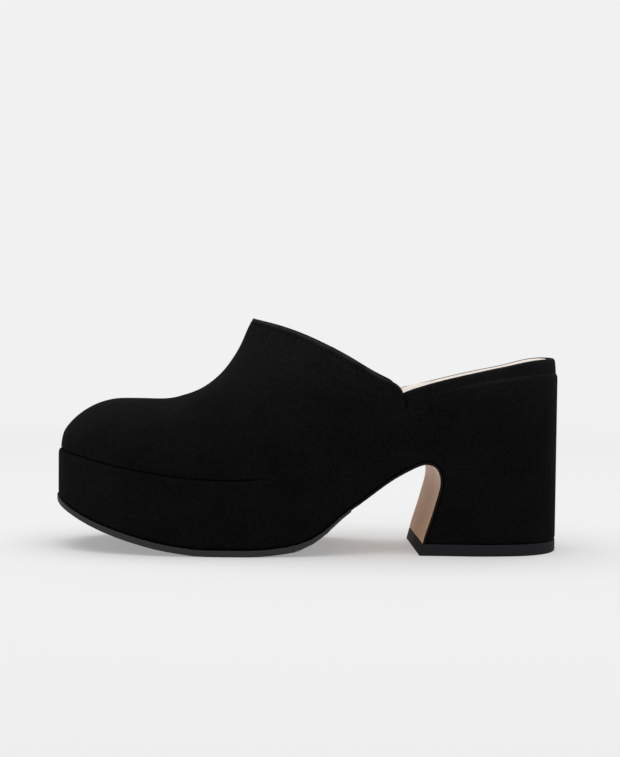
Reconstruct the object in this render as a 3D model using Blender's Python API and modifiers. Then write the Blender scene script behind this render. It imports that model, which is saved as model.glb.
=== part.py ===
"""A platform mule for the left foot: a closed suede vamp, open at the back, over a covered platform and block heel.

The toe points to -X, the outer side of the foot to -Y and the sole stands on z = 0. Everything is in metres.
The origin is the middle of the shoe's box, on the floor.
"""
import math
from collections import namedtuple

import bmesh
import bpy
from mathutils import Vector

# Driving sizes of the whole shoe
LENGTH = 0.2403  # toe tip to the back of the heel
BALL_WIDTH = 0.0885  # widest place of the platform
PLATFORM_HEIGHT = 0.0356  # floor to the platform's top edge under the ball
TOE_LIFT = 0.0124  # how much higher that edge is at the toe tip
SEAT_HEIGHT = 0.0848  # floor to the heel's top edge at the back
TOE_SPRING = 0.0208  # floor to the outsole under the toe tip
ARCH_HEIGHT = 0.0431  # floor to the top of the arch
INSTEP_HEIGHT = 0.110  # floor to the top of the throat

# Thickness of each layer
UPPER_WALL = 0.0020
OUTSOLE = 0.0030
TOP_LIFT = 0.0055
BREAST_COVER = 0.0012
INSOLE_HEEL = 0.0067
INSOLE_FOREFOOT = 0.0038
SOCK = 0.0012
SOCK_SUNK = 0.0004  # the sock lies this far below the rim

# Edges, steps and the space left between one piece and the next
GAP = 0.0003
FOOT_GAP = 0.0005  # under the vamp's curved foot
EDGE_ROUND = 0.0019  # rounding of the platform's top edge
RIM_ROUND = 0.0022  # rounding of the covered insole's rim
SOCK_ROUND = 0.0005
TOE_LEDGE = 0.0012  # the platform's step outside the vamp, at the toe
WAIST_LEDGE = 0.0007  # and where the vamp runs down into the waist
OUTSOLE_WELT = 0.0005  # the outsole stands this far proud of the suede
COVER_INSET = 0.0003
RIM_INSET = 0.0010  # the insole's rim inside the heel's edge
RIM_WIDTH = 0.0022  # bare suede between the rim's edge and the sock, at the sides
RIM_WIDTH_BACK = 0.0044  # and at the back
VAMP_BULGE = 0.020  # share of the half width that the vamp swells above its foot

# Places along the shoe, as shares of LENGTH from the toe tip
OUTSOLE_THINS = 0.46  # share of the length where the outsole starts to thin out
OUTSOLE_END = 0.588  # share of the length where it ends and the leather starts
HEEL_FRONT = 0.722  # share of the length where the heel's breast meets the floor
VAMP_TAIL = 0.706  # share of the length where the vamp's topline runs down to the heel seat
TAIL_STEP = 0.010  # share of the length over which the insole widens behind the tail
LEDGE_FADES = 0.30  # share of the length where the toe's ledge starts to narrow
LEDGE_GONE = 0.50  # share of the length where it has its waist width
TURN_STARTS = 0.45  # share of the length where the side view starts to turn with the heel

# The heel's breast
BREAST_LEAN = 0.0096  # the breast bows back over the arch by this much
HEEL_TURN = math.radians(2.7)  # the breast is turned inwards by this much
TURN_AXIS = -0.030  # the side view is true at this distance from the middle line

# How finely the shoe is divided
OUTLINE_STEPS = 44
RIBS = 30
RIB_STEPS = 34
FINE = 6  # a rib is first worked out this many times finer
TREAD_STEPS = 30
BREAST_STEPS = 14
ROUND_STEPS = 3
BEYOND = 1.1  # cutters run on to this share of the length

# The sole's outline at its top edge, as shares of half the ball width, and how far its wall leans in to the floor
Outline = namedtuple("Outline", "along outer inner lean")
OUTLINE = (
    Outline(0.000, -0.07, 0.07, 0.00),
    Outline(0.020, 0.328, 0.452, 0.00),
    Outline(0.080, 0.644, 0.780, 0.02),
    Outline(0.170, 0.840, 0.976, 0.04),
    Outline(0.270, 0.922, 1.062, 0.045),
    Outline(0.360, 0.938, 1.025, 0.05),
    Outline(0.460, 0.893, 0.893, 0.055),
    Outline(0.560, 0.802, 0.760, 0.065),
    Outline(0.650, 0.737, 0.700, 0.08),
    Outline(0.740, 0.723, 0.735, 0.095),
    Outline(0.830, 0.746, 0.757, 0.10),
    Outline(0.910, 0.689, 0.705, 0.10),
    Outline(0.970, 0.475, 0.497, 0.08),
    Outline(1.000, 0.00, 0.01, 0.05),
)

# Height of the sole's top edge: a share of the toe's lift and a share of the rise from the ball to the seat
TopEdge = namedtuple("TopEdge", "along toe seat")
TOP_EDGE = (
    TopEdge(0.000, 1.000, 0.000),
    TopEdge(0.057, 0.726, 0.000),
    TopEdge(0.100, 0.545, 0.000),
    TopEdge(0.200, 0.226, 0.000),
    TopEdge(0.297, 0.024, 0.000),
    TopEdge(0.350, 0.000, 0.000),
    TopEdge(0.412, 0.000, 0.016),
    TopEdge(0.488, 0.000, 0.118),
    TopEdge(0.555, 0.000, 0.283),
    TopEdge(0.613, 0.000, 0.470),
    TopEdge(0.669, 0.000, 0.640),
    TopEdge(0.728, 0.000, 0.756),
    TopEdge(0.821, 0.000, 0.874),
    TopEdge(0.888, 0.000, 0.944),
    TopEdge(0.960, 0.000, 0.996),
    TopEdge(1.000, 0.000, 1.000),
)

# Height of the tread from the toe to the top of the arch: shares of the toe's spring and of the arch
Tread = namedtuple("Tread", "along toe arch")
TREAD = (
    Tread(-0.050, 1.330, 0.000),
    Tread(0.000, 1.000, 0.000),
    Tread(0.020, 0.870, 0.000),
    Tread(0.057, 0.675, 0.000),
    Tread(0.100, 0.488, 0.000),
    Tread(0.161, 0.278, 0.000),
    Tread(0.220, 0.118, 0.000),
    Tread(0.278, 0.024, 0.000),
    Tread(0.300, 0.000, 0.000),
    Tread(0.395, 0.000, 0.000),
    Tread(0.450, 0.000, 0.024),
    Tread(0.490, 0.000, 0.074),
    Tread(0.528, 0.000, 0.185),
    Tread(0.567, 0.000, 0.388),
    Tread(0.625, 0.000, 0.647),
    Tread(0.682, 0.000, 0.872),
    Tread(0.722, 0.000, 0.985),
)

# The heel's breast in the side view, from the arch down to the floor: shares of its lean and of the arch's height
Breast = namedtuple("Breast", "back height")
BREAST = (
    Breast(0.310, 1.000),
    Breast(0.583, 0.992),
    Breast(0.781, 0.965),
    Breast(0.930, 0.912),
    Breast(1.000, 0.830),
    Breast(0.969, 0.750),
    Breast(0.854, 0.655),
    Breast(0.573, 0.434),
    Breast(0.250, 0.210),
    Breast(0.000, 0.000),
    Breast(-0.250, -0.180),
)

# The vamp's ribs: where each stands on the sole, where it crosses the crown and how high (a share of the instep's
# height), and the powers of its rounded section, across and upwards
Rib = namedtuple("Rib", "foot crown height across rise")
VAMP = (
    Rib(0.0000, 0.0062, 0.436, 2.0, 2.0),
    Rib(0.0008, 0.0070, 0.482, 2.0, 2.0),
    Rib(0.0025, 0.0087, 0.494, 2.1, 2.0),
    Rib(0.0138, 0.0208, 0.531, 2.1, 2.0),
    Rib(0.0340, 0.0413, 0.574, 2.1, 2.0),
    Rib(0.0750, 0.0813, 0.623, 2.2, 2.0),
    Rib(0.1160, 0.1217, 0.642, 2.2, 2.0),
    Rib(0.1580, 0.1625, 0.642, 2.2, 2.0),
    Rib(0.2020, 0.2030, 0.640, 2.2, 2.0),
    Rib(0.255, 0.2433, 0.6545, 2.2, 2.0),
    Rib(0.318, 0.2833, 0.6855, 2.2, 2.0),
    Rib(0.400, 0.3238, 0.753, 2.2, 2.05),
    Rib(0.475, 0.3438, 0.807, 2.2, 2.15),
    Rib(0.555, 0.3638, 0.879, 2.3, 2.35),
    Rib(0.635, 0.3775, 0.950, 2.4, 2.65),
    Rib(VAMP_TAIL, 0.3896, 0.999, 2.5, 3.0),
)

# The topline in the side view: the share of the way forward to the throat at each share of its height
Topline = namedtuple("Topline", "height forward")
TOPLINE = (
    Topline(0.000, 0.000),
    Topline(0.132, 0.033),
    Topline(0.305, 0.203),
    Topline(0.452, 0.326),
    Topline(0.590, 0.450),
    Topline(0.702, 0.574),
    Topline(0.810, 0.699),
    Topline(0.897, 0.822),
    Topline(0.968, 0.947),
    Topline(1.000, 1.000),
)
TOPLINE_FROM = 0.25  # ribs further forward than this are straight in the side view
RIDGE = 0.0030  # the crown lies this far to the inner side of the ribs' middle

# Colour, roughness and metallic value of each finish
Finish = namedtuple("Finish", "colour roughness metallic")
FINISHES = {
    "black_suede": Finish((0.012, 0.012, 0.012, 1.0), 0.95, 0.0),
    "black_rubber": Finish((0.030, 0.030, 0.032, 1.0), 0.60, 0.0),
    "tan_leather": Finish((0.420, 0.262, 0.165, 1.0), 0.55, 0.0),
    "cream_leather": Finish((0.870, 0.790, 0.700, 1.0), 0.50, 0.0),
}


def clear_scene():
    for thing in list(bpy.data.objects):
        bpy.data.objects.remove(thing)


def collection(name):
    made = bpy.data.collections.new(name)
    bpy.context.scene.collection.children.link(made)
    return made


def principled(name):
    """One Principled material for one piece."""
    finish = FINISHES[name]
    made = bpy.data.materials.new(name)
    made.use_nodes = True
    shader = made.node_tree.nodes["Principled BSDF"]
    shader.inputs["Base Color"].default_value = finish.colour
    shader.inputs["Roughness"].default_value = finish.roughness
    shader.inputs["Metallic"].default_value = finish.metallic
    return made


def smooth_curve(knots, values):
    """A curve through the knots that never swings past them: its slope is a mean of the slopes on both sides."""
    spans = [b - a for a, b in zip(knots, knots[1:])]
    slopes = [(b - a) / span for a, b, span in zip(values, values[1:], spans)]
    tangents = [slopes[0]]
    for before, after in zip(slopes, slopes[1:]):
        same_way = before * after > 0
        tangents.append(2 * before * after / (before + after) if same_way else 0.0)
    tangents.append(slopes[-1])

    def read(at):
        at = min(max(at, knots[0]), knots[-1])
        i = max(k for k in range(len(spans)) if knots[k] <= at)
        t = (at - knots[i]) / spans[i]
        rise = values[i + 1] - values[i]
        leave = tangents[i] * spans[i]
        arrive = tangents[i + 1] * spans[i]
        return values[i] + leave * t + (3 * rise - 2 * leave - arrive) * t**2 + (leave + arrive - 2 * rise) * t**3

    return read


def round_angle(along):
    """The angle whose cosine runs evenly along the shoe, so that round ends get close, even steps."""
    return math.acos(min(max(1 - 2 * along, -1.0), 1.0))


def along_at(angle):
    return (1 - math.cos(angle)) / 2


def column(table, name, place="along"):
    """One column of a table as a smooth curve over the round angle of its place."""
    read = smooth_curve([round_angle(getattr(row, place)) for row in table], [getattr(row, name) for row in table])
    return lambda along: read(round_angle(along))


def fade(along, start, end):
    """0 up to start, 1 from end on, and a soft step between."""
    t = min(max((along - start) / (end - start), 0.0), 1.0)
    return t * t * (3 - 2 * t)


def blend(a, b, share):
    return a + (b - a) * share


outer_side = column(OUTLINE, "outer")
inner_side = column(OUTLINE, "inner")
wall_lean = column(OUTLINE, "lean")
toe_share = column(TOP_EDGE, "toe")
seat_share = column(TOP_EDGE, "seat")
tread_toe = smooth_curve([row.along for row in TREAD], [row.toe for row in TREAD])
tread_arch = smooth_curve([row.along for row in TREAD], [row.arch for row in TREAD])
crown_place = column(VAMP, "crown", "foot")
crown_height = column(VAMP, "height", "foot")
section_across = column(VAMP, "across", "foot")
section_rise = column(VAMP, "rise", "foot")
topline_forward = smooth_curve([row.height for row in TOPLINE], [row.forward for row in TOPLINE])


def top_edge(x):
    """Height of the sole's top edge at x from the toe tip."""
    along = x / LENGTH
    return PLATFORM_HEIGHT + toe_share(along) * TOE_LIFT + seat_share(along) * (SEAT_HEIGHT - PLATFORM_HEIGHT)


def ledge(along):
    """How far inside the platform's edge the vamp stands."""
    return blend(TOE_LEDGE, WAIST_LEDGE, fade(along, LEDGE_FADES, LEDGE_GONE))


def side_point(angle, side):
    """A point of the outline: side is -1 for the outer side of the foot and 1 for the inner."""
    along = along_at(angle)
    share = inner_side(along) if side > 0 else outer_side(along)
    return Vector((along * LENGTH, side * share * BALL_WIDTH / 2))


def outline_point(angle, side, inset):
    """That point, moved inwards at right angles to the outline."""
    step = 0.002
    before = side_point(angle - step, side) if angle > step else side_point(step - angle, -side)
    after = side_point(angle + step, side) if angle < math.pi - step else side_point(2 * math.pi - angle - step, -side)
    forward = (after - before).normalized()
    inwards = Vector((forward.y, -forward.x)) * side
    return side_point(angle, side) + inwards * inset


def outline(inset, places=()):
    """The outline as a ring: back along the outer side, then forward along the inner. inset is a function of the
    place along, and places are more places that get a point."""
    even = [math.pi * i / OUTLINE_STEPS for i in range(OUTLINE_STEPS + 1)]
    near = math.pi / OUTLINE_STEPS / 3
    extra = [round_angle(place) for place in places]
    angles = sorted([a for a in even if all(abs(a - e) > near for e in extra)] + extra)
    outer = [outline_point(angle, -1, inset(along_at(angle))) for angle in angles]
    inner = [outline_point(angle, 1, inset(along_at(angle))) for angle in angles]
    return outer + inner[-2:0:-1]


def leaned(point, z):
    """The outline's point at height z on the leaning wall."""
    top = top_edge(point.x)
    share = 1 - wall_lean(point.x / LENGTH) * (top - z) / top
    return Vector((point.x, point.y * share, z))


def finished(name, finish, mesh_builder, home):
    """Turns a builder's faces outwards and makes it an object in its collection."""
    bmesh.ops.recalc_face_normals(mesh_builder, faces=mesh_builder.faces)
    mesh = bpy.data.meshes.new(name)
    mesh_builder.to_mesh(mesh)
    mesh_builder.free()
    made = bpy.data.objects.new(name, mesh)
    home.objects.link(made)
    if finish:
        mesh.materials.append(principled(finish))
        mesh.shade_smooth()
        mesh.set_sharp_from_angle(angle=math.radians(35))
    return made


def lofted(name, finish, rings, home):
    """A closed skin over rings that run round the shoe from the toe, closed straight across at both ends."""
    mesh_builder = bmesh.new()
    loops = [[mesh_builder.verts.new(point) for point in ring] for ring in rings]
    count = len(rings[0])
    for low, high in zip(loops, loops[1:]):
        for i in range(count):
            j = (i + 1) % count
            mesh_builder.faces.new((low[i], low[j], high[j], high[i]))
    for loop in (loops[0], loops[-1]):
        mesh_builder.faces.new((loop[0], loop[1], loop[-1]))
        for i in range(1, count // 2 - 1):
            mesh_builder.faces.new((loop[i], loop[i + 1], loop[count - i - 1], loop[count - i]))
        middle = count // 2
        mesh_builder.faces.new((loop[middle - 1], loop[middle], loop[middle + 1]))
    return finished(name, finish, mesh_builder, home)


def envelope(name, finish, inset, bottom, home):
    """The sole's outer form from a flat bottom up to its top edge, which is rounded over."""
    rings = [[leaned(point, bottom) for point in outline(lambda along: inset)]]
    for i in range(ROUND_STEPS + 1):
        turn = math.pi / 2 * i / ROUND_STEPS
        back = EDGE_ROUND * (1 - math.cos(turn))
        drop = EDGE_ROUND * (1 - math.sin(turn))
        ring = outline(lambda along: inset + back)
        rings.append([leaned(point, top_edge(point.x) - drop) for point in ring])
    return lofted(name, finish, rings, home)


def tread_line(depth):
    """The underside in the side view, from before the toe to below the floor at the breast, moved up into the shoe
    by depth, a function of the place along."""
    line = []
    for i in range(TREAD_STEPS + 1):
        along = blend(TREAD[0].along, TREAD[-1].along, i / TREAD_STEPS)
        line.append(Vector((along * LENGTH, tread_toe(along) * TOE_SPRING + tread_arch(along) * ARCH_HEIGHT)))
    corners = [Vector((HEEL_FRONT * LENGTH + row.back * BREAST_LEAN, row.height * ARCH_HEIGHT)) for row in BREAST]
    passed = [0.0]
    for a, b in zip(corners, corners[1:]):
        passed.append(passed[-1] + (b - a).length)
    across = smooth_curve(passed, [corner.x for corner in corners])
    up = smooth_curve(passed, [corner.y for corner in corners])
    for i in range(BREAST_STEPS + 1):
        at = passed[-1] * i / BREAST_STEPS
        line.append(Vector((across(at), up(at))))
    moved = []
    for i, point in enumerate(line):
        run = line[min(i + 1, len(line) - 1)] - line[max(i - 1, 0)]
        inwards = Vector((-run.y, run.x)).normalized()
        moved.append(point + inwards * depth(point.x / LENGTH))
    return moved


def turned(point, y):
    """A point of the side view carried across the shoe, along the turned line of the heel's breast."""
    share = fade(point.x / LENGTH, TURN_STARTS, HEEL_FRONT)
    return Vector((point.x - share * math.tan(HEEL_TURN) * (y - TURN_AXIS), y, point.y))


def across_shoe(name, finish, profile, home):
    """A closed side view carried right across the shoe."""
    mesh_builder = bmesh.new()
    reach = BALL_WIDTH
    ends = [[mesh_builder.verts.new(turned(point, y)) for point in profile] for y in (-reach, reach)]
    for i in range(len(profile)):
        j = (i + 1) % len(profile)
        mesh_builder.faces.new((ends[0][i], ends[0][j], ends[1][j], ends[1][i]))
    for end in ends:
        mesh_builder.faces.new(end)
    return finished(name, finish, mesh_builder, home)


def cut(body, operation, tool):
    """Cuts body by tool, or keeps what they share, with the exact solver."""
    tool.hide_render = True
    tool.display_type = "WIRE"
    step = body.modifiers.new(tool.name, "BOOLEAN")
    step.operation = operation
    step.object = tool
    step.solver = "EXACT"


def layer_depth(along):
    """What lies between the tread and the suede unit: the outsole in front and the leather cover behind."""
    return blend(OUTSOLE, BREAST_COVER, fade(along, OUTSOLE_THINS, OUTSOLE_END)) + GAP


def make_sole_unit(parts, tools):
    """Platform and block heel in one suede covering, hollowed under the arch and cut level over the top lift."""
    unit = envelope("sole_unit", "black_suede", 0.0, 0.0, parts)
    line = tread_line(layer_depth)
    seat = TOP_LIFT + GAP
    last = next(i for i, point in enumerate(line) if i > TREAD_STEPS and point.y < seat)
    foot = line[last - 1].lerp(line[last], (line[last - 1].y - seat) / (line[last - 1].y - line[last].y))
    behind = BEYOND * LENGTH
    below = -PLATFORM_HEIGHT
    profile = line[:last] + [foot, Vector((behind, seat)), Vector((behind, below)), Vector((line[0].x, below))]
    cut(unit, "DIFFERENCE", across_shoe("arch_space", None, profile, tools))


def layer(name, finish, start, end, inset, bottom, parts, tools):
    """A layer under the unit from one place along to another: its side view, trimmed to the sole's outline."""
    under = tread_line(lambda along: 0.0)
    over = tread_line(lambda along: layer_depth(along) - GAP)
    keep = [i for i, point in enumerate(under) if start < point.x / LENGTH < end]
    first, last = keep[0], keep[-1]
    low = under[first : last + 1]
    high = over[first : last + 1]
    for row, line in ((low, under), (high, over)):
        if first:
            share = (start * LENGTH - line[first - 1].x) / (line[first].x - line[first - 1].x)
            row.insert(0, line[first - 1].lerp(line[first], share))
        if last < len(line) - 1:
            share = (end * LENGTH - line[last].x) / (line[last + 1].x - line[last].x)
            row.append(line[last].lerp(line[last + 1], share))
    made = across_shoe(name, finish, low + high[::-1], parts)
    cut(made, "INTERSECT", envelope(name + "_outline", None, inset, bottom, tools))


def make_outsole(parts, tools):
    """Rubber tread under the forefoot, which thins out where the arch begins."""
    layer("outsole", "black_rubber", -1.0, OUTSOLE_END, -OUTSOLE_WELT, -TOP_LIFT, parts, tools)


def make_breast_cover(parts, tools):
    """Leather under the arch and down the front of the heel."""
    layer("breast_cover", "tan_leather", OUTSOLE_END + GAP / LENGTH, 1.0, COVER_INSET, TOP_LIFT + GAP, parts, tools)


def make_top_lift(parts, tools):
    """The rubber piece that the heel stands on."""
    line = tread_line(lambda along: 0.0)
    falling = line[TREAD_STEPS + 1 :]
    front = []
    for level in (0.0, TOP_LIFT):
        i = next(k for k in range(len(falling) - 1) if falling[k].y >= level > falling[k + 1].y)
        share = (falling[i].y - level) / (falling[i].y - falling[i + 1].y)
        front.append(falling[i].lerp(falling[i + 1], share))
    behind = BEYOND * LENGTH
    profile = [front[0], front[1], Vector((behind, TOP_LIFT)), Vector((behind, 0.0))]
    made = across_shoe("top_lift", "black_rubber", profile, parts)
    cut(made, "INTERSECT", envelope("top_lift_outline", None, 0.0, -TOP_LIFT, tools))


def insole_inset(along):
    """The insole stands inside the vamp's wall, and behind the tail out to its rim."""
    inside = ledge(along) + UPPER_WALL + 2 * GAP
    return blend(inside, RIM_INSET, fade(along, VAMP_TAIL, VAMP_TAIL + TAIL_STEP))


def insole_top(along):
    """Height of the insole's rim above the sole's top edge."""
    return GAP + blend(INSOLE_FOREFOOT, INSOLE_HEEL, fade(along, LEDGE_GONE, VAMP_TAIL))


def rim_width(along):
    return blend(RIM_WIDTH, RIM_WIDTH_BACK, fade(along, 1 - 2 * RIM_WIDTH_BACK / LENGTH, 1.0))


def rounded_top(inset, top, rounding):
    """The steps of a bed layer's rounded upper edge."""
    steps = []
    for i in range(ROUND_STEPS + 1):
        turn = math.pi / 2 * i / ROUND_STEPS
        back = rounding * (1 - math.cos(turn))
        drop = rounding * (1 - math.sin(turn))
        steps.append((lambda along, back=back: inset(along) + back, lambda along, drop=drop: top(along) - drop))
    return steps


def bed_layer(name, finish, steps, home):
    """A layer of the footbed, ring by ring: each step is an inset and a height over the sole's top edge, both
    functions of the place along."""
    places = (VAMP_TAIL, VAMP_TAIL + TAIL_STEP)
    rings = []
    for inset, height in steps:
        ring = outline(inset, places)
        rings.append([Vector((point.x, point.y, top_edge(point.x) + height(point.x / LENGTH))) for point in ring])
    lofted(name, finish, rings, home)


def bed_recess(along):
    """Height of the insole's floor, which the sock is let into."""
    return insole_top(along) - SOCK_SUNK - SOCK - GAP


def make_insole(parts):
    """Board and padding with a suede-wrapped rim, the full length of the shoe, hollowed for the sock."""

    def inner(along):
        return insole_inset(along) + rim_width(along)

    steps = [(insole_inset, lambda along: GAP)]
    steps += rounded_top(insole_inset, insole_top, RIM_ROUND - GAP)
    steps += [(inner, insole_top), (inner, bed_recess)]
    bed_layer("insole", "black_suede", steps, parts)


def make_sock(parts):
    """The leather that the foot lies on."""

    def inset(along):
        return insole_inset(along) + rim_width(along) + GAP

    def floor(along):
        return bed_recess(along) + GAP

    steps = [(inset, floor)] + rounded_top(inset, lambda along: floor(along) + SOCK, SOCK_ROUND)
    bed_layer("sock", "cream_leather", steps, parts)


def evenly_spaced(line, count):
    """As many equal steps along a line of points."""
    passed = [0.0]
    for a, b in zip(line, line[1:]):
        passed.append(passed[-1] + (b - a).length)
    spaced = []
    i = 0
    for k in range(count + 1):
        at = passed[-1] * k / count
        while i < len(line) - 2 and passed[i + 1] < at:
            i += 1
        spaced.append(line[i].lerp(line[i + 1], (at - passed[i]) / (passed[i + 1] - passed[i])))
    return spaced


def vamp_rib(angle):
    """One rib of the vamp's outer face, from its foot on the outer side over the crown to its foot on the inner."""
    along = along_at(angle)
    feet = [outline_point(angle, side, ledge(along)) for side in (-1, 1)]
    crown = Vector((crown_place(along) * LENGTH, crown_height(along) * INSTEP_HEIGHT))
    leaning = fade(along, TOPLINE_FROM, VAMP_TAIL)
    rib = []
    for i in range(FINE * RIB_STEPS + 1):
        turn = math.pi * i / (FINE * RIB_STEPS)
        reach = abs(math.cos(turn)) ** (2 / section_across(along))
        share = (1 - math.copysign(reach, math.cos(turn))) / 2
        lift = math.sin(turn) ** (2 / section_rise(along))
        foot = feet[0].lerp(feet[1], share)
        middle = (feet[0].y + feet[1].y) / 2
        swell = 1 + VAMP_BULGE * math.sin(math.pi * lift)
        forward = blend(lift, topline_forward(lift), leaning)
        base = top_edge(foot.x) + FOOT_GAP
        x = blend(foot.x, crown.x, forward)
        y = middle + (foot.y - middle) * swell + RIDGE * lift**2
        rib.append(Vector((x, y, blend(base, crown.y, lift))))
    return evenly_spaced(rib, RIB_STEPS)


def make_upper(parts):
    """The vamp: one curved sheet over all the ribs, given its wall inwards. It is open below and at the back."""
    tail = round_angle(VAMP_TAIL)
    mesh_builder = bmesh.new()
    tip = outline_point(0.0, 1, ledge(0.0))
    pole = mesh_builder.verts.new((tip.x, tip.y, top_edge(tip.x) + FOOT_GAP))
    rows = []
    for i in range(1, RIBS + 1):
        rib = vamp_rib(tail * i / RIBS)
        rows.append([mesh_builder.verts.new(point) for point in rib])
    for a, b in zip(rows[0], rows[0][1:]):
        mesh_builder.faces.new((pole, a, b))
    for front, behind in zip(rows, rows[1:]):
        for i in range(RIB_STEPS):
            mesh_builder.faces.new((front[i], behind[i], behind[i + 1], front[i + 1]))
    upper = finished("upper", "black_suede", mesh_builder, parts)
    wall = upper.modifiers.new("wall", "SOLIDIFY")
    wall.thickness = UPPER_WALL
    wall.offset = -1.0
    wall.use_even_offset = True


def centre_on_floor(parts, tools):
    """Parents pieces and cutters to one empty that puts the middle of the shoe's box over the origin."""
    bpy.context.view_layer.update()
    graph = bpy.context.evaluated_depsgraph_get()
    corners = [Vector(corner) for piece in parts.objects for corner in piece.evaluated_get(graph).bound_box]
    low = Vector(map(min, zip(*corners)))
    high = Vector(map(max, zip(*corners)))
    home = bpy.data.objects.new("mule_shoe", None)
    pieces = list(parts.objects) + list(tools.objects)
    parts.objects.link(home)
    home.location = (-(low.x + high.x) / 2, -(low.y + high.y) / 2, -low.z)
    for piece in pieces:
        piece.parent = home


def main():
    clear_scene()
    parts = collection("mule_shoe")
    tools = collection("cutters")
    make_sole_unit(parts, tools)
    make_outsole(parts, tools)
    make_breast_cover(parts, tools)
    make_top_lift(parts, tools)
    make_insole(parts)
    make_sock(parts)
    make_upper(parts)
    centre_on_floor(parts, tools)


main()
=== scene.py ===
# %% [markdown]
# # A platform mule in black suede
#
# This is the left shoe of a pair of mules: a closed vamp, open at the back, over a platform and a block
# heel that share one suede cover. The CAD model gives its solids, and this script gives each of them its
# finish and its softer shape. Everything is in metres. The toe points to -X, the outer side of the foot
# to -Y, and the floor is z = 0.

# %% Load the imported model
import math
from collections import namedtuple

import bmesh
import bpy
import numpy as np
from mathutils import Matrix, Vector
from mathutils.bvhtree import BVHTree


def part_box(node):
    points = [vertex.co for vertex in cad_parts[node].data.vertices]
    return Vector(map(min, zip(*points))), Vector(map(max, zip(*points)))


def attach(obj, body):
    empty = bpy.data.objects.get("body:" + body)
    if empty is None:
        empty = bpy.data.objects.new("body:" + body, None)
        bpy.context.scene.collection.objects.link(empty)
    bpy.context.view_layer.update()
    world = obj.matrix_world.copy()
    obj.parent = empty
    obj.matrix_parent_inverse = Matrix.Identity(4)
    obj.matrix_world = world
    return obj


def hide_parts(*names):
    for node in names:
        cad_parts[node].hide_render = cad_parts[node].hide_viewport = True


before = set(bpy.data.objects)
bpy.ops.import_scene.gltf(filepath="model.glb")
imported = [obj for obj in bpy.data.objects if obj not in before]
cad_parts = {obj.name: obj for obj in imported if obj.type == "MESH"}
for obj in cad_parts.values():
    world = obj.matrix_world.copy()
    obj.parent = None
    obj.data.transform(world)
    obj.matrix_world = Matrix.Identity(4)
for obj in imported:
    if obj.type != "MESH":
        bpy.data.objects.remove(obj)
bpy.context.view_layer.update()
MM = 0.001

# %% [markdown]
# ## Camera
#
# The photograph is a side view with a long lens, a little above the shoe. The near and the far corner of
# the heel gave the camera's height and distance. The picture leans by about half a degree, and the camera
# is rolled to match it.

# %% Camera
CAMERA_PLACE = Vector((0.0016, -0.8147, 0.120))
CAMERA_DOWN = math.radians(2.73)
CAMERA_ROLL = math.radians(0.6)
CAMERA_LENS = 80

look = Matrix.Rotation(math.pi / 2 - CAMERA_DOWN, 3, "X") @ Matrix.Rotation(CAMERA_ROLL, 3, "Z")
bpy.ops.object.camera_add(location=CAMERA_PLACE, rotation=look.to_euler())
camera = bpy.context.object
camera.name = "camera"
camera.data.lens = CAMERA_LENS
camera.data.dof.use_dof = False
bpy.context.scene.camera = camera
print("camera:", CAMERA_LENS, "mm lens,", round(math.degrees(CAMERA_DOWN), 2), "degrees down")

# %% [markdown]
# ## Shader maths in Python
#
# A procedural material is a small sum of noises. Wiring it by hand hides the sum, so a Wire stands for one
# output socket: adding or multiplying two of them adds the Math node that does it. A NodeTree has the one
# method that adds any node: the settings come first, then the sockets. A Finish is a NodeTree with what
# the finishes of a shoe share.

# %% Wires
class Wire:
    """One output socket, which Python's operators work on."""

    def __init__(self, nodes, socket):
        self.nodes = nodes
        self.socket = socket

    def maths(self, operation, *values):
        return self.nodes.node("Math", {"operation": operation}, dict(enumerate(values)))

    def __add__(self, other):
        return self.maths("ADD", self, other)

    __radd__ = __add__

    def __mul__(self, other):
        return self.maths("MULTIPLY", self, other)

    __rmul__ = __mul__

    def __sub__(self, other):
        return self.maths("SUBTRACT", self, other)

    def __rsub__(self, other):
        return self.maths("SUBTRACT", other, self)

    def rise(self, start, end):
        """0 below start, 1 above end, and a smooth step between."""
        settings = {"interpolation_type": "SMOOTHSTEP"}
        return self.nodes.node("MapRange", settings, {"Value": self, "From Min": start, "From Max": end})


print("wires can be added and multiplied")

# %% Trees of nodes
class NodeTree:
    """The nodes of a material or a world that is being put together."""

    def __init__(self, tree):
        self.tree = tree

    def node(self, kind, settings=(), sockets=(), output=0):
        """Adds a node, makes its settings, feeds its sockets with numbers or wires, returns one output."""
        made = self.tree.nodes.new("ShaderNode" + kind)
        for name, value in dict(settings).items():
            setattr(made, name, value)
        for name, value in dict(sockets).items():
            if isinstance(value, Wire):
                self.tree.links.new(value.socket, made.inputs[name])
            else:
                made.inputs[name].default_value = value
        return Wire(self, made.outputs[output])

    def show(self, surface):
        """Makes a shader's wire the one that the tree gives out."""
        end = next(node for node in self.tree.nodes if node.type.startswith("OUTPUT"))
        self.tree.links.new(surface.socket, end.inputs["Surface"])


print("nodes can be added")

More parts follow.
